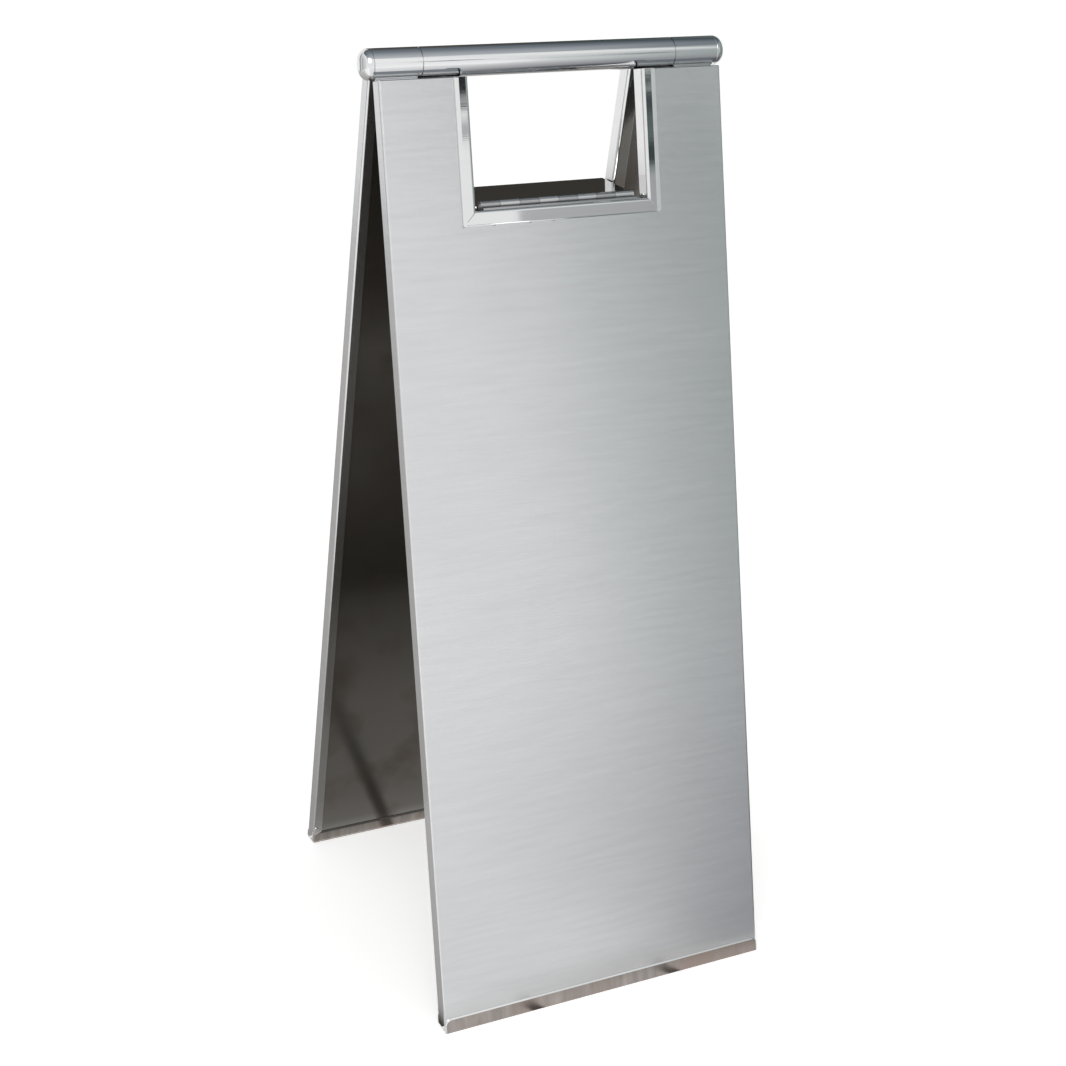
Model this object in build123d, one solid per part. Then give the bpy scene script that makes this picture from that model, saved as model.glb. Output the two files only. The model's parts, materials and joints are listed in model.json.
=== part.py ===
from build123d import *

import os
from math import acos, asin, atan2, cos, hypot, radians, sin

# Folding stainless steel floor sign: two sheet panels hang from one handle tube and spread as an A.
# Millimetres. X runs along the handle tube, the front panel faces -Y, the floor is at Z = 0.

# Handle tube, which is also the barrel of the fold hinge
tube_diameter = 25.0
tube_wall = 1.5
tube_overhang = 0.5
handle_seat = 35.0
seam_gap = 0.8
core_wall = 2.0
core_end_gap = 0.4
running_clearance = 0.05
cap_land = 0.6
cap_rise = 8.4
cap_fullness = 0.8
cap_crown = 5.0
cap_bands = 3
cap_plug_length = 10.0
cap_plug_clearance = 0.1

# Sheet panels
panel_width = 308.0
panel_length = 804.0
half_angle = 11.3
pan_depth = 14.0
pan_sheet = 1.0
pan_bend = 1.8
liner_sheet = 1.0
lip_width = 9.0
closed_gap = 0.8
ear_clearance = 0.4
flange_lift = 0.4
flange_corner = 4.0
ear_bevel = 0.6
seat_gap = 0.2
weld_width = 3.0
weld_margin = 2.0
weld_rise_angle = 16.0

# Channels folded round the hand opening and along the foot of each panel
channel_sheet = 1.2
channel_bend = 2.5
edge_round = 0.5
opening_width = 157.0
opening_drop = 119.0
trim_leg = 12.0
base_leg = 11.5
base_corner = 5.0

# Stay: a length of continuous hinge on the front panel, whose wide leaf hooks on the back panel
stay_side_gap = 8.0
stay_knuckles = 8
knuckle_gap = 0.3
stay_pin_diameter = 4.0
leaf_sheet = 1.5
leaf_width = 9.0
leaf_notch = 0.4
stay_axis_offset = 4.2
barrel_clearance = 0.3
flap_side_gap = 1.5
flap_corner = 8.0
flap_rest_gap = 0.3
hook_gap = 0.35
hook_drop = 6.0
hook_corner = 3.0
hook_bend = 0.6

# Derived places: distances outward from the middle plane between the folded panels
lean = radians(half_angle)
tube_radius = tube_diameter / 2
bore_radius = tube_radius - tube_wall
channel_inside = closed_gap / 2
rim_plane = channel_inside + channel_sheet
face_plane = rim_plane + pan_depth
channel_outside = face_plane + channel_sheet
channel_depth = channel_outside - channel_inside
ear_top = tube_radius + ear_clearance
mouth_top = ear_top + pan_sheet
mouth_width = panel_width - 2 * lip_width
axis_height = panel_length * cos(lean) - channel_outside * sin(lean)
handle_half = opening_width / 2 + handle_seat
seam_place = handle_half + seam_gap
tube_end = panel_width / 2 + tube_overhang
barrel_radius = stay_pin_diameter / 2 + leaf_sheet
stay_axis_drop = opening_drop - barrel_radius - barrel_clearance
stay_length = opening_width - 2 * stay_side_gap
flap_width = opening_width - 2 * flap_side_gap
reach = 2 * panel_length


def hang_front(shape):
    """Place a piece, drawn with the hinge axis at the origin and outward along -Y, on the front panel."""
    return Pos(0, 0, axis_height) * Rot(X=-half_angle) * shape


def hang_back(shape):
    """Place the same drawing on the back panel."""
    return Pos(0, 0, axis_height) * Rot(X=half_angle) * Rot(Z=180) * shape


def floor_line(offset):
    """Height of the floor in a panel's own drawing, at a distance outward from the middle plane."""
    return -(axis_height + offset * sin(lean)) / cos(lean)


def below_floor(height):
    """Everything lower than a height above the floor, in a panel's own drawing."""
    block = Box(reach, reach, reach, align=(Align.CENTER, Align.CENTER, Align.MAX))
    return Rot(X=half_angle) * Pos(0, 0, height - axis_height) * block


def rod(start, end, radius):
    """Round bar along X."""
    return Pos(start, 0, 0) * extrude(Plane.YZ * Circle(radius), end - start)


def tube(start, end, outer_radius, inner_radius):
    """Round tube along X."""
    return rod(start, end, outer_radius) - rod(start, end, inner_radius)


# Pans

def pan_block(inset, top):
    """Rounded prism of the pan's outside, or of its hollow when inset by the sheet."""
    outline = RectangleRounded(panel_width - 2 * inset, pan_depth - 2 * inset, pan_bend - inset)
    return Pos(0, -rim_plane - pan_depth / 2, -top) * extrude(outline, -panel_length)


def flange_outline():
    """Prism over the side flange, cut level just above the floor, with its two lower corners rounded."""
    low = flange_lift / cos(lean)
    outline = Polyline(
        (-face_plane, floor_line(face_plane) + low),
        (-rim_plane, floor_line(rim_plane) + low),
        (-rim_plane, 0),
        (-face_plane, 0),
        close=True,
    )
    rounded = make_face(outline)
    rounded = fillet(rounded.vertices().sort_by(Axis.Y)[:2], flange_corner)
    inside = panel_width / 2 - pan_sheet
    prism = extrude(Plane.YZ * rounded, panel_width, both=True)
    return prism + extrude(Plane.YZ * make_face(outline), inside, both=True)


def notch():
    """Block that clears the sheets for the hand opening and for the bends of the channels round it."""
    half = opening_width / 2 + channel_bend + seat_gap
    depth = opening_drop + channel_bend + seat_gap
    return Box(2 * half, reach, 2 * depth)


def pan():
    """Folded sheet: face, side flanges, return lips and, beside the hand opening, two ears closed on top."""
    block = pan_block(0, ear_top)
    rim = block.edges().group_by(Axis.Z)[-1]
    block = chamfer(rim, ear_bevel)
    mouth = Box(mouth_width, 2 * pan_bend, reach, align=(Align.CENTER, Align.CENTER, Align.MAX))
    body = block - pan_block(pan_sheet, mouth_top) - Pos(0, -rim_plane, -mouth_top) * mouth - notch()
    body -= below_floor(channel_sheet) & Box(panel_width - 2 * pan_sheet, reach, reach)
    return body & flange_outline()


def liner():
    """Flat inner sheet that closes the pan, level with its lips and held at its edges by the channels."""
    width = mouth_width - 2 * seat_gap
    sheet = Box(width, liner_sheet, panel_length, align=(Align.CENTER, Align.MAX, Align.MAX))
    return Pos(0, -rim_plane, -mouth_top - seat_gap) * sheet - notch() - below_floor(channel_sheet)


# Channels round the hand opening

def trim_section():
    """U section, web on the Y axis and legs along +X, with rounded bends and eased free edges."""
    outer = Rectangle(trim_leg, channel_depth, align=(Align.MIN, Align.CENTER))
    outer = fillet(outer.vertices().group_by(Axis.X)[0], channel_bend)
    inner = Pos(channel_sheet, 0) * Rectangle(trim_leg, pan_depth, align=(Align.MIN, Align.CENTER))
    inner = fillet(inner.vertices().group_by(Axis.X)[0], channel_bend - channel_sheet)
    section = outer - inner
    free_edges = section.vertices().group_by(Axis.X)[-1].sort_by(Axis.Y)
    section = fillet([free_edges[0], free_edges[-1]], edge_round)
    return Pos(0, -channel_inside - channel_depth / 2) * section


def mitre_prism(points):
    """Prism through the panel's depth over an outline in X and Z."""
    outline = make_face(Plane.XZ * Polyline(points, close=True))
    return extrude(outline, reach / 2, both=True)


def trim_right():
    """Upright channel on the right ear, mitred at its foot."""
    half = opening_width / 2
    foot = -opening_drop - trim_leg
    upright = Pos(half, 0, foot) * extrude(trim_section(), -foot - ear_top)
    keep = [(half, -opening_drop), (half + trim_leg, foot), (half + trim_leg, 0), (half, 0)]
    return upright & mitre_prism(keep)


def trim_left():
    """Upright channel on the left ear."""
    return mirror(trim_right(), about=Plane.YZ)


def trim_bottom():
    """Sill channel under the opening, mitred at both ends."""
    half = opening_width / 2
    foot = -opening_drop - trim_leg
    sill_plane = Plane(origin=(0, 0, -opening_drop), x_dir=(0, 0, -1), z_dir=(1, 0, 0))
    sill = extrude(sill_plane * trim_section(), half + trim_leg, both=True)
    keep = [(-half, -opening_drop), (half, -opening_drop), (half + trim_leg, foot), (-half - trim_leg, foot)]
    return sill & mitre_prism(keep)


# Foot channel

def leg_outline(offset, length):
    """Prism over one leg of the foot channel, with its two top corners rounded."""
    top = floor_line(offset) + base_leg
    outline = Pos(0, top - base_leg) * Rectangle(length, 2 * base_leg)
    outline = fillet(outline.vertices().group_by(Axis.Y)[-1], base_corner)
    middle = (channel_inside + channel_outside) / 2
    side = Align.MAX if offset > middle else Align.MIN
    half_space = Pos(0, -middle, 0) * Box(reach, reach, 2 * reach, align=(Align.CENTER, side, Align.CENTER))
    return extrude(Plane.XZ * outline, reach / 2, both=True) & half_space


def base_channel():
    """Channel round the panel's foot, its sole level with the floor when the sign is open."""
    sole_rise = channel_sheet / cos(lean)
    length = panel_width - 2 * (pan_sheet + seat_gap)
    outer = Polyline(
        (-channel_outside, floor_line(channel_outside)),
        (-channel_inside, floor_line(channel_inside)),
        (-channel_inside, floor_line(channel_inside) + base_leg),
        (-channel_outside, floor_line(channel_outside) + base_leg),
        close=True,
    )
    inner = Polyline(
        (-face_plane, floor_line(face_plane) + sole_rise),
        (-rim_plane, floor_line(rim_plane) + sole_rise),
        (-rim_plane, floor_line(rim_plane) + 2 * base_leg),
        (-face_plane, floor_line(rim_plane) + 2 * base_leg),
        close=True,
    )
    block = make_face(outer)
    block = fillet(block.vertices().sort_by(Axis.Y)[:2], edge_round)
    section = block - make_face(inner)
    leg_tops = section.vertices().filter_by_position(Axis.Y, floor_line(0) + base_leg / 2, 0)
    leg_tops = leg_tops.sort_by(Axis.X)
    section = fillet([leg_tops[0], leg_tops[-1]], edge_round)
    channel = extrude(Plane.YZ * section, length / 2, both=True)
    return channel & (leg_outline(channel_outside, length) + leg_outline(channel_inside, length))


# Handle tube and fold hinge

def weld_bead(start, end):
    """Weld that joins a tube to the ear flange under it, in a panel's own drawing."""
    rise = radians(weld_rise_angle)
    root = tube_radius - tube_wall / 2
    toe = tube_radius - tube_wall / 4
    heel = rim_plane + ear_bevel
    outline = Polyline(
        (-heel, -ear_top),
        (-heel - weld_width, -ear_top),
        (-toe * sin(rise), -toe * cos(rise)),
        (-heel, -root),
        close=True,
    )
    return Pos(start, 0, 0) * extrude(Plane.YZ * make_face(outline), end - start)


def handle_tube():
    """Middle tube, welded to the back panel's ears."""
    barrel = Pos(0, 0, axis_height) * tube(-handle_half, handle_half, tube_radius, bore_radius)
    bead = weld_bead(opening_width / 2 + channel_bend + weld_margin, handle_half - weld_margin)
    return barrel + hang_back(bead) + hang_back(mirror(bead, about=Plane.YZ))


def end_tube(side):
    """Short tube at one end, welded to the front panel's ear."""
    barrel = tube(seam_place, tube_end, tube_radius, bore_radius)
    bead = weld_bead(seam_place + weld_margin, panel_width / 2 - weld_margin)
    if side < 0:
        barrel = mirror(barrel, about=Plane.YZ)
        bead = mirror(bead, about=Plane.YZ)
    return Pos(0, 0, axis_height) * barrel + hang_front(bead)


def core_tube():
    """Inner tube that the handle turns on."""
    half = tube_end - cap_plug_length - core_end_gap
    outer = bore_radius - running_clearance
    return Pos(0, 0, axis_height) * tube(-half, half, outer, outer - core_wall)


def end_cap(side):
    """Plug in the open end of the tube, with a dome of straight bands and a flat crown."""
    plug = bore_radius - cap_plug_clearance
    step = acos((cap_crown / tube_radius) ** (1 / cap_fullness)) / cap_bands
    turns = [i * step for i in range(cap_bands + 1)]
    rises = [cap_land + cap_rise * sin(turn) ** cap_fullness for turn in turns]
    radii = [tube_radius * cos(turn) ** cap_fullness for turn in turns]
    base = [(0, tube_radius), (0, plug), (-cap_plug_length, plug), (-cap_plug_length, 0)]
    outline = Polyline(*zip(rises, radii), (rises[-1], 0), *reversed(base), close=True)
    cap = Pos(tube_end, 0, 0) * revolve(make_face(outline), Axis.X)
    if side < 0:
        cap = mirror(cap, about=Plane.YZ)
    return Pos(0, 0, axis_height) * cap


# Stay

def knuckle_spans(first):
    """X ranges of every second knuckle, from the first one given."""
    pitch = stay_length / stay_knuckles
    starts = [i * pitch - stay_length / 2 for i in range(first, stay_knuckles, 2)]
    return [(x + knuckle_gap / 2, x + pitch - knuckle_gap / 2) for x in starts]


def knuckle(span):
    """One rolled knuckle about the X axis."""
    return tube(span[0], span[1], barrel_radius, stay_pin_diameter / 2 + running_clearance)


def stay_leaf():
    """Narrow leaf welded on the front sill, with its own knuckles."""
    near = barrel_radius + leaf_notch
    floor = -barrel_radius - barrel_clearance
    corner = (Align.CENTER, Align.MAX, Align.MIN)
    leaf = Pos(0, -near, floor) * Box(stay_length, leaf_width - near, leaf_sheet, align=corner)
    for span in knuckle_spans(0):
        middle = (span[0] + span[1]) / 2
        leaf += Pos(middle, 0, floor) * Box(span[1] - span[0], near, leaf_sheet, align=corner)
        leaf += knuckle(span)
    for span in knuckle_spans(0):
        leaf -= rod(span[0], span[1], stay_pin_diameter / 2 + running_clearance)
    return hang_front(Pos(0, -stay_axis_offset, -stay_axis_drop) * leaf)


def stay_axis_point():
    """Centre of the stay's hinge in world Y and Z."""
    y = -stay_axis_offset * cos(lean) - stay_axis_drop * sin(lean)
    z = axis_height + stay_axis_offset * sin(lean) - stay_axis_drop * cos(lean)
    return Vector(0, y, z)


def flap_tilt():
    """Rise of the flap from its hinge to where it rests on the back sill's rounded edge."""
    offset = channel_outside - channel_bend
    drop = opening_drop + channel_bend
    y = offset * cos(lean) + drop * sin(lean)
    z = axis_height + offset * sin(lean) - drop * cos(lean)
    arm = Vector(0, y, z) - stay_axis_point()
    clear = barrel_radius + channel_bend + flap_rest_gap
    return atan2(arm.Z, arm.Y) + asin(clear / hypot(arm.Y, arm.Z))


def stay_flap():
    """Wide leaf across the opening, with its knuckles and a lip that hooks over the back sill."""
    tilt = flap_tilt()
    along = Vector(0, cos(tilt), sin(tilt))
    up = Vector(0, -sin(tilt), cos(tilt))
    down_back = Vector(0, sin(lean), -cos(lean))
    out_back = Vector(0, cos(lean), sin(lean))
    to_axis = out_back.dot(stay_axis_point() - Vector(0, 0, axis_height))

    def meet(depth, offset):
        """Where a plane of the flap meets a plane parallel to the back panel."""
        run = (offset - to_axis + depth * out_back.dot(up)) / out_back.dot(along)
        return along * run - up * depth

    near = along * (barrel_radius + leaf_notch)
    under = barrel_radius
    top = barrel_radius - leaf_sheet
    inside = channel_outside + hook_gap
    heel = meet(under, inside)
    crest = meet(top, inside + leaf_sheet)
    tip = heel + down_back * hook_drop
    outline = [near - up * under, heel, tip, tip + out_back * leaf_sheet, crest, near - up * top]
    profile = make_face(Polyline(outline, close=True))
    plate = extrude(profile, flap_width / 2, dir=(1, 0, 0), both=True)
    bends = plate.edges().filter_by(Axis.X)
    plate = fillet(bends.sort_by_distance(crest)[0], hook_bend + leaf_sheet)
    plate = fillet(plate.edges().filter_by(Axis.X).sort_by_distance(heel)[0], hook_bend)

    plan = Plane(origin=(0, 0, 0), x_dir=(1, 0, 0), z_dir=up)
    plate_plan = Pos(0, near.length) * Rectangle(flap_width, reach, align=(Align.CENTER, Align.MIN))
    plate_plan = fillet(plate_plan.vertices().group_by(Axis.Y)[0], flap_corner)
    plate &= extrude(plan * plate_plan, reach, both=True)
    hook_face = Plane(origin=tip, x_dir=(1, 0, 0), z_dir=out_back)
    hook_plan = Rectangle(flap_width, reach, align=(Align.CENTER, Align.MAX))
    hook_plan = fillet(hook_plan.vertices().group_by(Axis.Y)[-1], hook_corner)
    plate &= extrude(hook_face * hook_plan, reach, both=True)

    for span in knuckle_spans(1):
        width = span[1] - span[0]
        tab = Rectangle(width, near.length + leaf_sheet, align=(Align.CENTER, Align.MIN))
        tab = Pos((span[0] + span[1]) / 2, 0) * tab
        tab_plane = Plane(origin=-up * under, x_dir=(1, 0, 0), z_dir=up)
        plate += extrude(tab_plane * tab, leaf_sheet)
        plate += knuckle(span)
    for span in knuckle_spans(1):
        plate -= rod(span[0], span[1], stay_pin_diameter / 2 + running_clearance)
    return Pos(*stay_axis_point()) * plate


def stay_pin():
    """Pin through all knuckles."""
    return Pos(*stay_axis_point()) * rod(-stay_length / 2, stay_length / 2, stay_pin_diameter / 2)


def panel_pieces(prefix, hang):
    """The two sheets and the four channels of one panel."""
    drawings = {
        "panel": pan,
        "inner_sheet": liner,
        "trim_left": trim_left,
        "trim_right": trim_right,
        "sill": trim_bottom,
        "foot_channel": base_channel,
    }
    return {f"{prefix}_{name}": hang(draw()) for name, draw in drawings.items()}


def main():
    """Build every piece and write one file each."""
    pieces = panel_pieces("front", hang_front)
    pieces.update(panel_pieces("back", hang_back))
    pieces["handle_tube"] = handle_tube()
    pieces["end_tube_left"] = end_tube(-1)
    pieces["end_tube_right"] = end_tube(1)
    pieces["hinge_core_tube"] = core_tube()
    pieces["end_cap_left"] = end_cap(-1)
    pieces["end_cap_right"] = end_cap(1)
    pieces["stay_leaf"] = stay_leaf()
    pieces["stay_pin"] = stay_pin()
    pieces["stay_flap"] = stay_flap()
    os.makedirs("parts", exist_ok=True)
    for name, piece in pieces.items():
        export_step(piece, f"parts/{name}.step")


main()
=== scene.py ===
# %% [markdown]
# # A folding steel floor sign
# This lesson dresses a CAD model of a folding floor sign. The CAD already has the true shapes: two sheet
# pans, the channels round their edges, a handle tube in three lengths and a hinged stay between the
# panels. Blender adds what a CAD solid leaves out: the brushed and polished steel, the welds, and a
# studio for them.

import json
from math import atan2, cos, pi, radians, sin

import bmesh
import bpy
from mathutils import Matrix, Vector


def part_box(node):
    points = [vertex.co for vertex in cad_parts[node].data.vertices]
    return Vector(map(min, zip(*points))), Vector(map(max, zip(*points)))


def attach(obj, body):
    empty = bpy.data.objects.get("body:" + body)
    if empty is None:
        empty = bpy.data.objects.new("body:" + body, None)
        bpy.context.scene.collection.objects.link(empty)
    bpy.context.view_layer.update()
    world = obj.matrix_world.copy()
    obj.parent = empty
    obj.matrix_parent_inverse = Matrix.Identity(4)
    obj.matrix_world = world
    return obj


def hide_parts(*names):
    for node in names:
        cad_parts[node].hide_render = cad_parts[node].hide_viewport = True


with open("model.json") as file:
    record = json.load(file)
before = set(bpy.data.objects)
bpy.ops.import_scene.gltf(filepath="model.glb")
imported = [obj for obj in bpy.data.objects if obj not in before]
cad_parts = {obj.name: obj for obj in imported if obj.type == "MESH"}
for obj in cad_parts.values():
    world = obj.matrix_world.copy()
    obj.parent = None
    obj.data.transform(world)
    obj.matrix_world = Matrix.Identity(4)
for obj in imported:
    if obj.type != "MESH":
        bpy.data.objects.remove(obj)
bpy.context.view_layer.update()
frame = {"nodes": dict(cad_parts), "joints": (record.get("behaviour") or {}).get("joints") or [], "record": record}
nodes = frame["nodes"]

# %% [markdown]
# ## Where things are
# The two panels lean against each other at the handle tube's axis, which is also the axis of the fold
# joint. Most places on the sign are easiest to give as a drop down the panel from that axis and a
# distance outward from the plane in which the folded panels would meet. Pieces could be made upright and
# turned afterwards, but then each would need its own turn. One function turns every place into a world
# place from the start.

# %% Places on a leaning panel
lean = radians(11.3)
axis_height = frame["joints"][0]["pos_m"][2]
face_offset = 0.0156
middle_drop = 0.4


def on_panel(side, x, outward, drop):
    """World place of a point on the front panel (side -1) or the back panel (side 1)."""
    y = outward * cos(lean) + drop * sin(lean)
    z = axis_height + outward * sin(lean) - drop * cos(lean)
    return Vector((x, side * y, z))


print("fold axis height:", axis_height)
print("middle of the front face:", on_panel(-1, 0, face_offset, middle_drop))

# %% [markdown]
# ## The camera
# The photograph looks at the sign's front left corner from above the handle. A long lens keeps the
# uprights nearly parallel. The camera could be aimed at the sign by a constraint; a place and three turns
# are used here, because they also hold the photograph's slight roll. A small vertical shift then frames
# the sign.

# %% Camera
camera_place = Vector((-0.7032, -1.4138, 1.0079))
camera_yaw = radians(26.378)
camera_pitch = radians(19.618)
camera_roll = radians(1.684)

scene = bpy.context.scene
camera = bpy.data.objects.new("camera", bpy.data.cameras.new("camera"))
camera.data.sensor_width = 36
camera.data.lens = 64.727
camera.data.shift_y = -0.07786
camera.matrix_world = (
    Matrix.Translation(camera_place)
    @ Matrix.Rotation(-camera_yaw, 4, "Z")
    @ Matrix.Rotation(pi / 2 - camera_pitch, 4, "X")
    @ Matrix.Rotation(camera_roll, 4, "Z")
)
scene.collection.objects.link(camera)
scene.camera = camera
scene.view_settings.view_transform = "Standard"
print("camera lens:", camera.data.lens, "place:", tuple(camera_place))

# %% [markdown]
# ## Shader arithmetic
# A finish is a small sum: brush lines plus smudges, scaled and limited. Wiring that by hand hides the
# sum, so one class wraps a node's output and turns the operators into Math nodes, with a number on either
# side.

# %% A value that adds Math nodes
class Value:
    """One output of a shader node, on which arithmetic adds Math nodes."""

    def __init__(self, finish, node, output):
        self.finish = finish
        self.node = node
        self.socket = node.outputs[output]

    def out(self, output):
        """Another output of the same node."""
        return Value(self.finish, self.node, output)

    def math(self, operation, first, second):
        """A Math node on two values or numbers."""
        return self.finish.node("ShaderNodeMath", {"operation": operation}, {0: first, 1: second})

    def __add__(self, other):
        return self.math("ADD", self, other)

    def __radd__(self, other):
        return self.math("ADD", other, self)

    def __sub__(self, other):
        return self.math("SUBTRACT", self, other)

    def __rsub__(self, other):
        return self.math("SUBTRACT", other, self)

    def __mul__(self, other):
        return self.math("MULTIPLY", self, other)

    def __rmul__(self, other):
        return self.math("MULTIPLY", other, self)

    def __gt__(self, other):
        return self.math("GREATER_THAN", self, other)

    def __lt__(self, other):
        return self.math("LESS_THAN", self, other)

    def __abs__(self):
        return self.math("ABSOLUTE", self, 0)


print("operators on values: + - * > < abs")

# %% [markdown]
# ## One way to add a node
# Every other node comes from one method that takes the node's type, its settings, and what goes into its
# sockets. A few short methods on top of it name what a finish needs most: a ramp, a blend of two colours,
# the object's own coordinates, and noise that can be stretched along one axis.

# %% A node tree with short methods
class Finish:
    """A node tree with one way to add a node."""

    def __init__(self, tree):
        self.tree = tree

    def feed(self, socket, value):
        """Link a value to a socket, or set a number or a colour on it."""
        if isinstance(value, Value):
            self.tree.links.new(value.socket, socket)
        elif socket.type == "RGBA":
            socket.default_value = (*value, 1)
        else:
            socket.default_value = value

    def node(self, kind, settings=None, inputs=None, output=0):
        """A new node, set and fed, as one of its outputs."""
        node = self.tree.nodes.new(kind)
        for name, setting in (settings or {}).items():
            setattr(node, name, setting)
        for key, value in (inputs or {}).items():
            self.feed(node.inputs[key], value)
        return Value(self, node, output)

    def ramp(self, value, low, high):
        """0 below one value, 1 above another, straight between."""
        inputs = {"Value": value, "From Min": low, "From Max": high}
        return self.node("ShaderNodeMapRange", {"clamp": True}, inputs)

    def blend(self, factor, first, second):
        """Mix of two colours."""
        return self.node("ShaderNodeMix", {"data_type": "RGBA"}, {0: factor, 6: first, 7: second}, 2)

    def place(self):
        """Object coordinates."""
        return self.node("ShaderNodeTexCoord", output="Object")

    def noise(self, place, cycles, detail):
        """Noise with its own cycles per metre along each axis of a place."""
        scaled = self.node("ShaderNodeMapping", {}, {"Vector": place, "Scale": cycles})
        return self.node("ShaderNodeTexNoise", {}, {"Vector": scaled, "Scale": 1.0, "Detail": detail})


print("shader helpers ready")

# %% [markdown]
# ## The studio
# The photograph's background is plain white. Brighter lamps could burn a grey floor out to white, and the
# sign with it. Instead, the world is white to the camera and to reflections, and a little dimmer as a
# light. The floor is a pale sheet that glows a little to the camera, enough to meet the white, and still
# takes the sign's shadow.

# %% World and floor
world_light = 0.62
floor_glow = 0.52
floor_colour = (0.78, 0.775, 0.77)
floor_roughness = 0.9
floor_reach = 14


def seen_directly(finish):
    """1 for rays from the camera, from a reflection or through glass, 0 for other rays."""
    path = finish.node("ShaderNodeLightPath", output="Is Camera Ray")
    return path + path.out("Is Glossy Ray") + path.out("Is Transmission Ray")


world = bpy.data.worlds.new("white_studio")
world.use_nodes = True
scene.world = world
studio = Finish(world.node_tree)
background = world.node_tree.nodes["Background"]
background.inputs["Color"].default_value = (1, 1, 1, 1)
studio.feed(background.inputs["Strength"], world_light + (1 - world_light) * seen_directly(studio))

floor_mesh = bpy.data.meshes.new("floor")
floor_shape = bmesh.new()
bmesh.ops.create_grid(floor_shape, x_segments=1, y_segments=1, size=floor_reach)
floor_shape.to_mesh(floor_mesh)
floor_shape.free()
floor = bpy.data.objects.new("floor", floor_mesh)
scene.collection.objects.link(floor)

paper = bpy.data.materials.new("pale_floor")
paper.use_nodes = True
pale = Finish(paper.node_tree)
paper_shader = paper.node_tree.nodes["Principled BSDF"]
pale.feed(paper_shader.inputs["Base Color"], floor_colour)
pale.feed(paper_shader.inputs["Roughness"], floor_roughness)
pale.feed(paper_shader.inputs["Emission Strength"], floor_glow)
pale.feed(paper_shader.inputs["Emission Color"], pale.blend(seen_directly(pale), (0, 0, 0), (1, 1, 1)))
floor_mesh.materials.append(paper)
print("floor and world ready, world light:", world_light)

# %% [markdown]
# ## A soft lamp
# One large square lamp stands to the front left, above the camera. A small lamp would draw a hard shadow.
# This one only gives the floor a soft shadow and the domes a highlight: flat steel takes its light from
# what it mirrors.

# %% Lamp
lamp_place = Vector((-1.1, -1.9, 2.3))
lamp_aim = Vector((0, 0, 0.45))

lamp = bpy.data.objects.new("soft_lamp", bpy.data.lights.new("soft_lamp", "AREA"))
lamp.data.shape = "SQUARE"
lamp.data.size = 1.5
lamp.data.energy = 24
aim = (lamp_aim - lamp_place).to_track_quat("-Z", "Y").to_matrix().to_4x4()
lamp.matrix_world = Matrix.Translation(lamp_place) @ aim
scene.collection.objects.link(lamp)
print("lamp power:", lamp.data.energy)

# %% [markdown]
# ## Cards for the steel to mirror
# Polished metal shows whatever stands round it, and in plain white it would look like paper. A
# photographer sets grey and black cards round such a piece. Here each card is a sheet through rows of
# places, and each place has its own tone, so that a card can fade into the white at its edge instead of
# drawing a line in the tube. The cards are seen only in reflections.

# %% A card
def card(name, tint, rows):
    """A sheet that only reflections see, through rows of places with a tone each."""
    shape = bmesh.new()
    tone_layer = shape.verts.layers.float_color.new("tone")
    lines = []
    for row in rows:
        lines.append([shape.verts.new(place) for place, tone in row])
        for vert, (place, tone) in zip(lines[-1], row):
            vert[tone_layer] = (*(tone ** (1 / share) for share in tint), 1)
        for left, right in zip(lines[-1], lines[-1][1:]):
            shape.edges.new((left, right))
    for near, far in zip(lines, lines[1:]):
        rungs = [edge for vert in near + far for edge in vert.link_edges]
        near_edges = [edge for edge in rungs if all(vert in near for vert in edge.verts)]
        far_edges = [edge for edge in rungs if all(vert in far for vert in edge.verts)]
        bmesh.ops.bridge_loops(shape, edges=list(dict.fromkeys(near_edges + far_edges)))
    mesh = bpy.data.meshes.new(name)
    shape.to_mesh(mesh)
    shape.free()
    board = bpy.data.objects.new(name, mesh)
    scene.collection.objects.link(board)
    board.visible_camera = False
    board.visible_diffuse = False
    board.visible_shadow = False
    material = bpy.data.materials.new(name)
    material.use_nodes = True
    glow = Finish(material.node_tree)
    shader = material.node_tree.nodes["Principled BSDF"]
    glow.feed(shader.inputs["Base Color"], (0, 0, 0))
    glow.feed(shader.inputs["Specular IOR Level"], 0)
    glow.feed(shader.inputs["Emission Strength"], 1)
    painted = glow.node("ShaderNodeAttribute", {"attribute_name": "tone"}, output="Color")
    glow.feed(shader.inputs["Emission Color"], painted)
    mesh.materials.append(material)
    print(name, "faces:", len(mesh.polygons))


def level_card(name, tint, height, columns, rows):
    """A level card, with a tone for each of its columns (x) in each of its rows (y)."""
    card(name, tint, [[((x, y, height), tone) for x, tone in zip(columns, tones)]
                      for y, tones in rows.items()])


print("card helpers ready")

# %% [markdown]
# ## Sky and woods
# Out of doors the tube mirrors a sky and the flap mirrors dark woods. A picture of a place would give
# both at once, but every look here comes from nodes and shapes, so two cards stand for them. The sky lies
# level overhead, dark behind the sign, pale before it and dimmer to the right, and runs along the tube as
# a soft band. The woods stand upright behind the sign to the right, where the flap shows them.

# %% Sky and woods
blue = (0.92, 1, 1.08)
cool = (0.97, 1, 1.04)
green = (0.9, 1, 1)
warm = (1.03, 1, 0.96)
sky_height = 3.2
sky_behind = 2.5

sky_tones = {sky_behind: 0.1, 0.42: 0.23, 0: 0.29, -0.42: 0.37, -1.4: 0.51, -2.3: 0.64}
sky_shares = {-2.6: 1, 0.5: 1, 1.35: 0.92, 1.75: 0.5, 4.2: 0.45}
sky_rows = {y: [tone * share for share in sky_shares.values()] for y, tone in sky_tones.items()}
level_card("sky", blue, sky_height, sky_shares, sky_rows)

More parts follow.
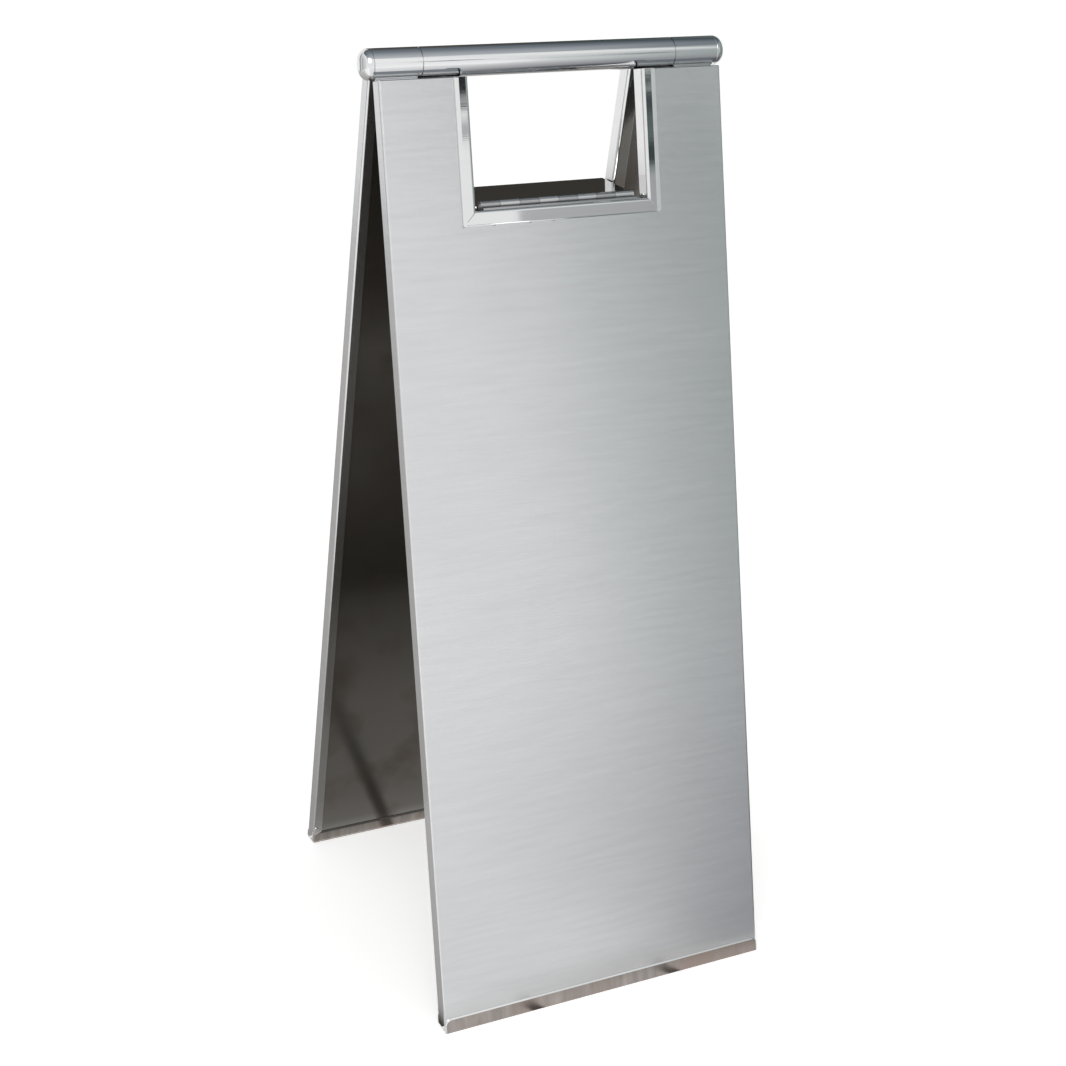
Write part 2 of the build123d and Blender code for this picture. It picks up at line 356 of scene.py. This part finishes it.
woods_columns = (0.3, 0.85, 1.75, 2.2)
woods_tones = {0.5: 0.03, 1.6: 0.045, sky_height: 0.1}
woods_rows = {z: (1, tone, tone, 0.6) for z, tone in woods_tones.items()}
card("woods", warm, [[((x, sky_behind, z), tone) for x, tone in zip(woods_columns, tones)]
                     for z, tones in woods_rows.items()])

# %% [markdown]
# ## Trees, hedge, branches and wall
# What a flat face mirrors depends almost only on the direction, so these cards stand on circles round the
# sign, with their tones given by the direction in degrees, to the right of straight ahead. The trees
# leave the white up to 25 degrees and grow dim beyond it, which shades the face from left to right. Up to
# 40 degrees they are lighter above, where the tube mirrors them. A hedge and two branches before them are
# what the polished channels round the opening show, and a dim wall to the left shades the left dome.

# %% Cards on circles
tree_distance = 2.6
hedge_distance = 2.55
branch_distance = 2.5


def around(degrees, distance, height):
    """A place on a circle round the sign, turned from straight ahead of the front towards the right."""
    return (distance * sin(radians(degrees)), -distance * cos(radians(degrees)), height)


def fence(name, tint, distance, heights, rows):
    """A card that stands on a circle round the sign, with its tones at the heights for each direction."""
    card(name, tint, [[(around(angle, distance, height), tone) for height, tone in zip(heights, tones)]
                      for angle, tones in rows.items()])


def branch(name, tint, start, end, tones):
    """A card from one direction to another, with the same tone all along at each height."""
    levels = tuple(tones.values())
    fence(name, tint, branch_distance, tuple(tones), {start: levels, end: levels})


fence("trees", green, tree_distance, (0, 0.8, 1.5, 2.3, sky_height), {
    25.4: (1, 1, 1, 1, 1),
    25.8: (0.76, 0.76, 0.8, 0.93, 0.9),
    29: (0.62, 0.63, 0.72, 0.93, 0.9),
    31: (0.52, 0.54, 0.64, 1, 0.95),
    33: (0.44, 0.45, 0.52, 0.96, 0.9),
    36: (0.38, 0.38, 0.45, 0.92, 0.85),
    39.3: (0.37, 0.46, 0.52, 0.88, 0.82),
    41: (0.36, 0.5, 0.55, 0.5, 0.42),
    42: (0.35, 0.68, 0.68, 0.5, 0.4),
    50: (0.3, 0.62, 0.62, 0.45, 0.36),
    54: (0.3, 0.3, 0.4, 0.45, 0.4),
    85: (0.28, 0.28, 0.35, 0.4, 0.4),
    110: (0.4, 0.4, 0.36, 0.2, 0.16),
    135: (0.6, 0.6, 0.5, 0.2, 0.12),
    142: (0.5, 0.5, 0.3, 0.1, 0.1),
    146: (0.04, 0.04, 0.05, 0.08, 0.1),
    150: (0.04, 0.04, 0.05, 0.08, 0.1),
})
fence("hedge", cool, hedge_distance, (0.93, 1.06), {24.1: (0.54, 0.54), 30: (0.48, 0.48), 32: (0.4, 0.4)})
branch("branch_right", green, 29.6, 31.9, {
    1.05: 0.4, 1.068: 0.3, 1.072: 0.06, 1.113: 0.06, 1.119: 0.17, 1.178: 0.14, 1.183: 0.08,
    1.225: 0.07, 1.228: 0.7, 1.232: 0.7, 1.235: 0.08, 1.258: 0.1, 1.264: 0.5, 1.3: 0.6,
})
branch("branch_left", cool, 20.6, 23.6, {
    1.182: 1, 1.185: 0.2, 1.189: 0.2, 1.192: 0.55, 1.217: 0.5, 1.22: 1, 1.241: 1,
    1.245: 0.12, 1.26: 0.12, 1.262: 1, 1.2665: 1, 1.2685: 0.03, 1.42: 0.03,
})
fence("wall", cool, tree_distance, (0, 1.4, 2.6), {
    -75: (1, 1, 1),
    -90: (0.75, 0.8, 1),
    -118: (0.7, 0.75, 1),
    -120: (0.3, 0.35, 1),
    -124: (0.3, 0.35, 1),
    -126: (0.7, 0.75, 1),
    -140: (0.7, 0.7, 1),
    -143: (0.3, 0.3, 1),
    -148: (0.3, 0.3, 1),
    -150: (0.8, 0.8, 1),
})

# %% [markdown]
# ## Paving
# The ground that the steel mirrors is in four cards. Before the sign it follows the trees' tones, on
# rings. Along the front foot lies a strip with two dark joints, which the foot channel shows. Under the
# sign the panels shade it, and a dark joint crosses it. Behind to the left it is what the side flanges
# show. One large card could hold all of this, but its rows would have to cross everywhere, so each place
# has a card of its own.

# %% Ground cards
paving_lift = 0.001
paving_rings = (0.27, 0.32, 0.6, 1.05, 1.9, 2.6)
paving_tones = {
    -40: (1, 1, 1, 1, 1, 1),
    -15: (0.9, 0.9, 0.92, 1, 1, 1),
    8: (0.9, 0.9, 0.92, 1, 1, 1),
    14: (0.86, 0.83, 0.83, 0.88, 1, 1),
    20: (0.74, 0.7, 0.73, 0.78, 0.92, 1),
    25: (0.62, 0.6, 0.65, 0.68, 0.8, 0.95),
    26: (0.58, 0.55, 0.6, 0.62, 0.68, 0.76),
    29: (0.52, 0.5, 0.53, 0.53, 0.58, 0.62),
    31: (0.48, 0.46, 0.48, 0.47, 0.49, 0.52),
    36: (0.46, 0.42, 0.42, 0.38, 0.37, 0.38),
    44: (0.51, 0.38, 0.2, 0.24, 0.34, 0.35),
    52: (0.55, 0.12, 0.08, 0.16, 0.3, 0.3),
    70: (0.55, 0.12, 0.08, 0.16, 0.3, 0.3),
    100: (0.5, 0.3, 0.28, 0.28, 0.28, 0.28),
}
card("paving_front", cool, [[(around(angle, ring, paving_lift), tone)
                             for ring, tone in zip(paving_rings, tones)]
                            for angle, tones in paving_tones.items()])

edge_columns = (-0.2, -0.075, -0.071, -0.063, -0.059, 0.06, 0.064, 0.072, 0.076, 0.2)
joint_tones = (0.85, 0.85, 0.12, 0.12, 0.85, 0.85, 0.12, 0.12, 0.85, 0.75)
clear_tones = (0.85, 0.82, 0.8, 0.8, 0.8, 0.62, 0.6, 0.6, 0.6, 0.45)
edge_rows = {-0.167: joint_tones, -0.192: joint_tones, -0.215: clear_tones, -0.275: clear_tones}
level_card("paving_edge", warm, paving_lift / 2, edge_columns, edge_rows)

shade_columns = (-1.2, -0.5, -0.2, -0.164, -0.156, -0.084, -0.077, -0.071, -0.064, 0.16, 0.5)
open_tones = (1, 0.6, 0.5, 0.45)
shade_shares = (1, 1, 0.3, 0.3, 1, 1, 1)
shade_tones = {-0.165: 0.06, -0.08: 0.11, 0: 0.17, 0.11: 0.21, 0.14: 0.27, 0.165: 0.7}
shade_rows = {y: (*open_tones, *(tone * share for share in shade_shares))
              for y, tone in shade_tones.items()}
level_card("paving_under", warm, 2 * paving_lift, shade_columns, shade_rows)

back_columns = (-2.4, -1.4, -0.6, -0.16, 0.6)
back_rows = {
    0.17: (1, 0.7, 0.5, 0.4, 0.35),
    0.8: (1, 0.65, 0.5, 0.45, 0.4),
    1.6: (0.9, 0.6, 0.5, 0.5, 0.5),
    2.5: (0.75, 0.6, 0.6, 0.7, 0.8),
    3.3: (1, 1, 1, 1, 1),
}
level_card("paving_back", warm, paving_lift, back_columns, back_rows)

# %% [markdown]
# ## Steel
# All the sheet, tube and channel here is stainless steel: one metal, in several finishes. The difference
# lies in the lines left by the last belt and in the haze of handling. A picture of brushed steel would
# repeat itself. Stretched noise does not: it varies quickly across the belt's run and slowly along it. On
# the sheets it follows the slope of the panel, so that the lines run level across the face and straight
# round the folded edges. The same noise with fewer cycles gives the broad streaks in the colour.

# %% A steel finish
noise_middle = 0.5
line_detail = 2
streak_detail = 3
streak_power = 0.69
smudge_cycles = (11, 11, 11)
smudge_detail = 4
smudge_range = (0.48, 0.78)
patch_cycles = (16, 16, 16)
patch_detail = 3
patch_range = (0.5, 0.68)
patch_roughness = 0.1
knuckle_reach = 0.0039


def sheet_place(finish):
    """Coordinates that lie flat on a panel: across, outward and down the slope."""
    part = finish.node("ShaderNodeSeparateXYZ", {}, {0: finish.place()})
    aside = abs(part.out("Y"))
    rise = part.out("Z") - axis_height
    outward = aside * cos(lean) + rise * sin(lean)
    drop = aside * sin(lean) - rise * cos(lean)
    return finish.node("ShaderNodeCombineXYZ", {}, {0: part, 1: outward, 2: drop})


def patches(finish, where):
    """Cloudy patches of a few centimetres."""
    return finish.ramp(finish.noise(where, patch_cycles, patch_detail), *patch_range)


def knuckles(finish, where):
    """1 within the rolled knuckles of the stay's hinge, 0 elsewhere."""
    pin_y, pin_z = frame["joints"][1]["pos_m"][1:]
    part = finish.node("ShaderNodeSeparateXYZ", {}, {0: where})
    aside = part.out("Y") - pin_y
    rise = part.out("Z") - pin_z
    return knuckle_reach * knuckle_reach > aside * aside + rise * rise


def steel(name, colour, shine, belt, depth, spread, haze,
          place=Finish.place, grain=0.9, patch_tone=None, mask=patches):
    """Stainless steel with lines of a belt's cycles per metre, of a depth in metres.

    Shine is the plain roughness, spread is how far the lines vary it, and haze is what smudges add to it.
    Grain is the share of the colour that is left in the darkest streaks.
    """
    material = bpy.data.materials.new(name)
    material.use_nodes = True
    finish = Finish(material.node_tree)
    shader = material.node_tree.nodes["Principled BSDF"]
    finish.feed(shader.inputs["Metallic"], 1)
    where = place(finish)
    lines = finish.noise(where, belt, line_detail)
    smudge = finish.ramp(finish.noise(where, smudge_cycles, smudge_detail), *smudge_range)
    streaks = finish.noise(where, tuple(cycles ** streak_power for cycles in belt), streak_detail)
    shade = finish.blend(streaks, tuple(grain * share for share in colour), colour)
    roughness = shine + spread * (lines - noise_middle) + haze * smudge
    # Where the mask is 1 the patch tone takes over: stains on the inner sheets, a painted reflection of the
    # paving's joints on the foot channels, and the grey of the flap's knuckles.
    if patch_tone:
        masked = mask(finish, where)
        shade = finish.blend(masked, shade, patch_tone)
        roughness = roughness + patch_roughness * masked
    finish.feed(shader.inputs["Base Color"], shade)
    finish.feed(shader.inputs["Roughness"], roughness)
    bump = finish.node("ShaderNodeBump", {}, {"Strength": 1.0, "Distance": depth, "Height": lines})
    finish.feed(shader.inputs["Normal"], bump)
    return material


print("steel finish ready")

# %% [markdown]
# ## Nine finishes
# Each material slot of the CAD gets its own finish: brushed panels, inner sheets darkened with painted
# shade and stained, polished channels, tube and domes, foot channels whose brown colour and dark patches
# are a painted reflection of the paving, plain ground steel, the hinge, and a mirror for the flap. They
# could share one material with a switch, but nine plain ones are easier to read and to change.

# %% Finishes for the slots
along_x = (9, 1500, 1500)
along_z = (1500, 1500, 9)
down_slope = (60, 60, 2200)
down_strip = (1500, 60, 90)
rolled = (40, 40, 3)
knuckle_grey = (0.6, 0.6, 0.605)
finishes = {
    "panel_sheet": steel("panel_sheet", (0.702, 0.708, 0.717), 0.2, down_slope, 0.00004, 0.06, 0.04,
                         sheet_place, grain=0.89),
    # The inner sheets' dark colour is painted shade of the hollow between the panels; their darker brown patches
    # are stains.
    "mill_sheet": steel("mill_sheet", (0.41, 0.4, 0.385), 0.13, rolled, 0.00004, 0.04, 0.08,
                        sheet_place, patch_tone=(0.29, 0.26, 0.24)),
    "polished_channel": steel("polished_channel", (0.78, 0.785, 0.785), 0.035, along_x, 0.000003,
                              0.02, 0.02),
    # The foot channels' brown colour is a painted reflection of the brown paving, and their dark patches are
    # painted reflections of the paving's joints.
    "foot_channel": steel("foot_channel", (0.56, 0.51, 0.48), 0.2, down_strip, 0.00001, 0.06, 0.06,
                          sheet_place, grain=0.4, patch_tone=(0.38, 0.31, 0.28)),
    "polished_tube": steel("polished_tube", (0.83, 0.835, 0.84), 0.09, along_x, 0.000004, 0.05, 0.05),
    "polished_cap": steel("polished_cap", (0.78, 0.785, 0.79), 0.08, along_z, 0.000003, 0.03, 0.05),
    "plain_steel": steel("plain_steel", (0.55, 0.55, 0.55), 0.3, along_x, 0.00001, 0.1, 0.08),
    "hinge_steel": steel("hinge_steel", (0.46, 0.46, 0.465), 0.16, along_x, 0.00001, 0.1, 0.08),
    "mirror_flap": steel("mirror_flap", (0.7, 0.7, 0.69), 0.05, along_x, 0.000002, 0.02, 0.05,
                         patch_tone=knuckle_grey, mask=knuckles),
}
for row in frame["record"]["subparts"]:
    nodes[row["node"]].data.materials[0] = finishes[row["material_slot"]]
print("finishes:", ", ".join(finishes))

# %% [markdown]
# ## Domed end caps
# The tube ends in two polished domes. The CAD dome has a few straight bands to stay light, which a mirror
# finish would show as rings. The smooth dome is turned on a lathe: half an outline, full at the shoulder
# and nearly flat at the crown, is spun round the tube's axis. A small bevel at its rim leaves the fine
# ring where it meets the tube.

# %% Smooth domes
tube_radius = 0.0125
plug_radius = 0.0109
plug_length = 0.01
cap_land = 0.0006
cap_rise = 0.0084
cap_fullness = 0.8
rim_bevel = 0.00025
dome_steps = 18
lathe_steps = 72
merge_distance = 1e-7


def new_piece(name, shape, slot, body, smooth=True):
    """Turn a finished bmesh into an object that rides on a body with a slot's finish."""
    bmesh.ops.remove_doubles(shape, verts=shape.verts, dist=merge_distance)
    bmesh.ops.recalc_face_normals(shape, faces=shape.faces)
    mesh = bpy.data.meshes.new(name)
    shape.to_mesh(mesh)
    shape.free()
    if smooth:
        mesh.shade_smooth()
    piece = bpy.data.objects.new(name, mesh)
    scene.collection.objects.link(piece)
    mesh.materials.append(finishes[slot])
    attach(piece, body)
    print(name, "faces:", len(mesh.polygons))
    return piece


def domed_cap(side):
    """Dome with its plug, at the left (-1) or right (1) end of the tube."""
    shape = bmesh.new()
    turns = [step * pi / 2 / dome_steps for step in range(1, dome_steps)]
    rim = [(-plug_length, 0), (-plug_length, plug_radius), (0, plug_radius), (0, tube_radius - rim_bevel),
           (rim_bevel, tube_radius), (cap_land, tube_radius)]
    dome = [(cap_land + cap_rise * sin(turn) ** cap_fullness, tube_radius * cos(turn) ** cap_fullness)
            for turn in turns]
    crown = [(cap_land + cap_rise, 0)]
    outline = [shape.verts.new((x, 0, radius)) for x, radius in rim + dome + crown]
    for start, end in zip(outline, outline[1:]):
        shape.edges.new((start, end))
    bmesh.ops.spin(shape, geom=shape.verts[:] + shape.edges[:], cent=(0, 0, 0), axis=(1, 0, 0),
                   angle=2 * pi, steps=lathe_steps, use_merge=True)
    tube_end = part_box("end_tube_right")[1].x
    bmesh.ops.translate(shape, vec=(tube_end, 0, axis_height), verts=shape.verts)
    bmesh.ops.scale(shape, vec=(side, 1, 1), verts=shape.verts)
    return shape


for side, name in ((-1, "left"), (1, "right")):
    cap = new_piece(f"dome_{name}", domed_cap(side), "polished_cap", "front")
    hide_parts(f"end_cap_{name}")

# %% [markdown]
# ## Welds
# The sign is welded by hand. Three kinds of weld show: ground seams along the mitres of the channels
# round the opening, small tacks under the sill, and a puddle at each inner corner of the feet. A bump in
# the material would vanish from the side, so they are low shapes: a bead is a sphere flattened against
# the steel it lies on, and a seam is a thin bar with all its edges rounded.

# %% Beads and seams
bead_detail = 3
seam_half_width = 0.00035
seam_half_height = 0.00008
seam_round = 0.8


def panel_axes(side):
    """Turn whose X, Y and Z run across, outward from and down the front (-1) or back (1) panel."""
    outward = Vector((0, side * cos(lean), sin(lean)))
    down = Vector((0, side * sin(lean), -cos(lean)))
    return Matrix((Vector((1, 0, 0)), outward, down)).transposed().to_4x4()


def bead(shape, side, x, outward, drop, half_sizes):
    """Add one flattened bead, with half sizes across, outward and down the slope."""
    place = Matrix.Translation(on_panel(side, x, outward, drop)) @ panel_axes(side)
    sized = place @ Matrix.Diagonal((*half_sizes, 1))
    bmesh.ops.create_icosphere(shape, subdivisions=bead_detail, radius=1, matrix=sized)


def seam(shape, side, outward, start, end):
    """Add one ground seam from one point (across, drop) of a panel's plane to another."""
    run = Vector(end) - Vector(start)
    middle = (Vector(start) + Vector(end)) / 2
    place = Matrix.Translation(on_panel(side, middle.x, outward, middle.y)) @ panel_axes(side)
    turned = place @ Matrix.Rotation(-atan2(run.y, run.x), 4, "Y")
    sized = turned @ Matrix.Diagonal((run.length / 2, seam_half_height, seam_half_width, 1))
    bar = bmesh.ops.create_cube(shape, size=2, matrix=sized)["verts"]
    edges = list({edge for vert in bar for edge in vert.link_edges})
    bmesh.ops.bevel(shape, geom=edges, offset=seam_half_height * seam_round, offset_type="OFFSET",
                    affect="EDGES", segments=2, profile=0.5, material=-1)


print("bead and seam ready")

# %% [markdown]
# ## Mitre seams and sill tacks
# Each lower corner of the opening has a mitre, and its seam shows on the outer and on the inner side of
# the panel. The tacks sit under the left half of the front sill, unevenly, as a welder sets them, and
# behind them under the back one. Their places are given one by one, because an even row would look
# stamped.

# %% Seams and tacks
panel_sides = ((-1, "front"), (1, "back"))
channel_offset = 0.0168
opening_half = 0.0785
opening_drop = 0.119
trim_leg = 0.012
inner_offset = 0.0004
seam_margin = 0.0004
tack_places = (-0.0906, -0.0634, -0.0312, -0.0103)
tack_lift = 0.0004
tack_half_sizes = (0.0014, 0.0007, 0.0009)

for side, name in panel_sides:
    seams = bmesh.new()
    for hand in (-1, 1):
        corner = (hand * opening_half, opening_drop)
        tip = (hand * (opening_half + trim_leg - seam_margin), opening_drop + trim_leg - seam_margin)
        for outward in (inner_offset, channel_offset):
            seam(seams, side, outward, corner, tip)
    new_piece(f"{name}_mitre_seams", seams, "plain_steel", name)
    tacks = bmesh.new()
    for x in tack_places:
        bead(tacks, side, x, face_offset + tack_lift, opening_drop + trim_leg, tack_half_sizes)
    new_piece(f"{name}_sill_tacks", tacks, "plain_steel", name)

# %% [markdown]
# ## Bright edges
# The free edges of the channels are ground after welding, and each shows as one bright line: along the
# sill, along the foot strips and round their corners. A line is a section swept along a path. On the sill
# it is a thin round bead that stands a quarter of a millimetre proud. Along the feet it is a flat bevel
# that falls from the channel's surface towards the sheet. Outside it is polished, and tipped up just
# enough to mirror the bright air over the paving. Inside, where no bright air is in sight, it is left as
# ground, and gathers light from the sides.

# %% Sections and paths
edge_radius = 0.0006
edge_sunk = 0.00035
edge_sides = 10
foot_half = 0.1528
foot_leg = 0.0115
foot_corner = 0.005
corner_steps = 8
floor_gap = 0.0006
sill_half = opening_half + trim_leg - edge_radius
sill_low = opening_drop + trim_leg - edge_radius
bevel_width = 0.0012
bevel_fall = 0.0007
bevel_foot = 0.0015

edge_turns = [step * 2 * pi / edge_sides for step in range(edge_sides)]
round_section = [(edge_radius * cos(turn), edge_radius * sin(turn)) for turn in edge_turns]
outer_bevel = [(0, 0), (bevel_width, -bevel_fall), (bevel_width, -bevel_foot), (0, -bevel_foot)]
inner_bevel = [(aside, -rise) for aside, rise in outer_bevel]
sill_path = [(-sill_half, sill_low), (sill_half, sill_low)]


def foot_drop(outward):
    """Drop at which the surface of a panel at a distance outward meets the floor."""
    return (axis_height + outward * sin(lean)) / cos(lean)


def foot_path(outward):
    """Path of (across, drop) along the top edge of a foot channel's leg and round its corners."""
    low = foot_drop(outward)
    turns = [step * pi / 2 / corner_steps for step in range(corner_steps + 1)]
    arc = [(foot_half - foot_corner * (1 - sin(turn)), low - foot_leg + foot_corner * (1 - cos(turn)))
           for turn in turns]
    right = arc + [(foot_half, low - floor_gap)]
    return [(-x, drop) for x, drop in reversed(right)] + right


print("foot path points:", len(foot_path(channel_offset)))

# %% [markdown]
# ## Sweeping a section
# A curve with a bevel profile could sweep a section too, but it turns the section as it likes in the
# corners. Here a ring of points is set at each place of the path, square to its run, the end rings are
# filled, and each ring is bridged to the next.

# %% Ground edges
def swept_edge(shape, side, path, outward, section):
    """Sweep a section of (aside, rise) along a path of (across, drop) at a distance outward."""
    places = [Vector(point) for point in path]
    rings = []
    for i, place in enumerate(places):
        run = (places[min(i + 1, len(places) - 1)] - places[max(i - 1, 0)]).normalized()
        away = Vector((run.y, -run.x))
        spots = [(place + aside * away, outward + rise) for aside, rise in section]
        rings.append([shape.verts.new(on_panel(side, spot.x, height, spot.y)) for spot, height in spots])
    for ring in (rings[0], rings[-1]):
        bmesh.ops.contextual_create(shape, geom=ring)
    for ring in rings[1:-1]:
        for near, far in zip(ring, ring[1:] + ring[:1]):
            shape.edges.new((near, far))
    for near, far in zip(rings, rings[1:]):
        loops = [edge for ring in (near, far) for vert in ring for edge in vert.link_edges
                 if edge.other_vert(vert) in ring]
        bmesh.ops.bridge_loops(shape, edges=list(dict.fromkeys(loops)))


for side, name in panel_sides:
    sill_edge = bmesh.new()
    swept_edge(sill_edge, side, sill_path, channel_offset - edge_sunk, round_section)
    new_piece(f"{name}_sill_edge", sill_edge, "polished_channel", name)
    outside = bmesh.new()
    swept_edge(outside, side, foot_path(channel_offset), channel_offset, outer_bevel)
    new_piece(f"{name}_foot_bevel_outside", outside, "polished_channel", name, smooth=False)
    inside = bmesh.new()
    swept_edge(inside, side, foot_path(inner_offset), inner_offset, inner_bevel)
    new_piece(f"{name}_foot_bevel_inside", inside, "plain_steel", name, smooth=False)

# %% [markdown]
# ## Hems
# The side channels of the opening have a hem along their outer edge: the last third of the leg is
# thicker, and slopes down towards the sheet. It mirrors another direction than the flat of the leg, so
# that each channel shows two bands side by side. A bevel on the leg would need a change to the CAD mesh.
# A hem is therefore a piece of its own, one thin section across the leg, extruded along the whole
# channel.

# %% Sloping hems
hem_width = 0.0035
hem_rise = 0.00044
hem_sunk = 0.00005
hem_edge = 0.00002
hem_top = 0.0135


def hem(shape, side, hand):
    """Add the hem of the left (-1) or right (1) channel of a panel."""
    low_edge = opening_half + trim_leg
    high_edge = low_edge - hem_width
    section = ((low_edge, -hem_sunk), (high_edge, -hem_sunk), (high_edge, hem_rise), (low_edge, hem_edge))
    places = [on_panel(side, hand * x, channel_offset + rise, hem_top) for x, rise in section]
    corners = [shape.verts.new(place) for place in places]
    end = bmesh.ops.contextual_create(shape, geom=corners)["faces"]
    grown = bmesh.ops.extrude_face_region(shape, geom=end, use_keep_orig=True)["geom"]
    run = on_panel(side, 0, 0, opening_drop + trim_leg) - on_panel(side, 0, 0, hem_top)
    moved = [item for item in grown if isinstance(item, bmesh.types.BMVert)]
    bmesh.ops.translate(shape, vec=run, verts=moved)


for side, name in panel_sides:
    hems = bmesh.new()
    for hand in (-1, 1):
        hem(hems, side, hand)
    new_piece(f"{name}_trim_hems", hems, "polished_channel", name, smooth=False)

# %% [markdown]
# ## Foot corners
# Where the foot channel meets the folded lips of the pan, the welder left a bright puddle at each inner
# corner. One sphere would look like a ball bearing, so a puddle is three beads that run into each other.
# It lies in the step between the two sheets and stays below the channel's surface, so that the panels
# still close.

# %% Corner puddles
corner_x = 0.1495
lip_offset = 0.0016
puddle_half_height = 0.0011
puddle_spots = ((0, 0.0125, 0.0042), (0.0012, 0.009, 0.0042), (-0.001, 0.0158, 0.0028))
sole_drop = foot_drop(0)

for side, name in panel_sides:
    puddles = bmesh.new()
    for hand in (-1, 1):
        for inward, up, size in puddle_spots:
            half_sizes = (size, puddle_half_height, size)
            bead(puddles, side, hand * (corner_x - inward), lip_offset, sole_drop - up, half_sizes)
    new_piece(f"{name}_foot_puddles", puddles, "polished_channel", name)
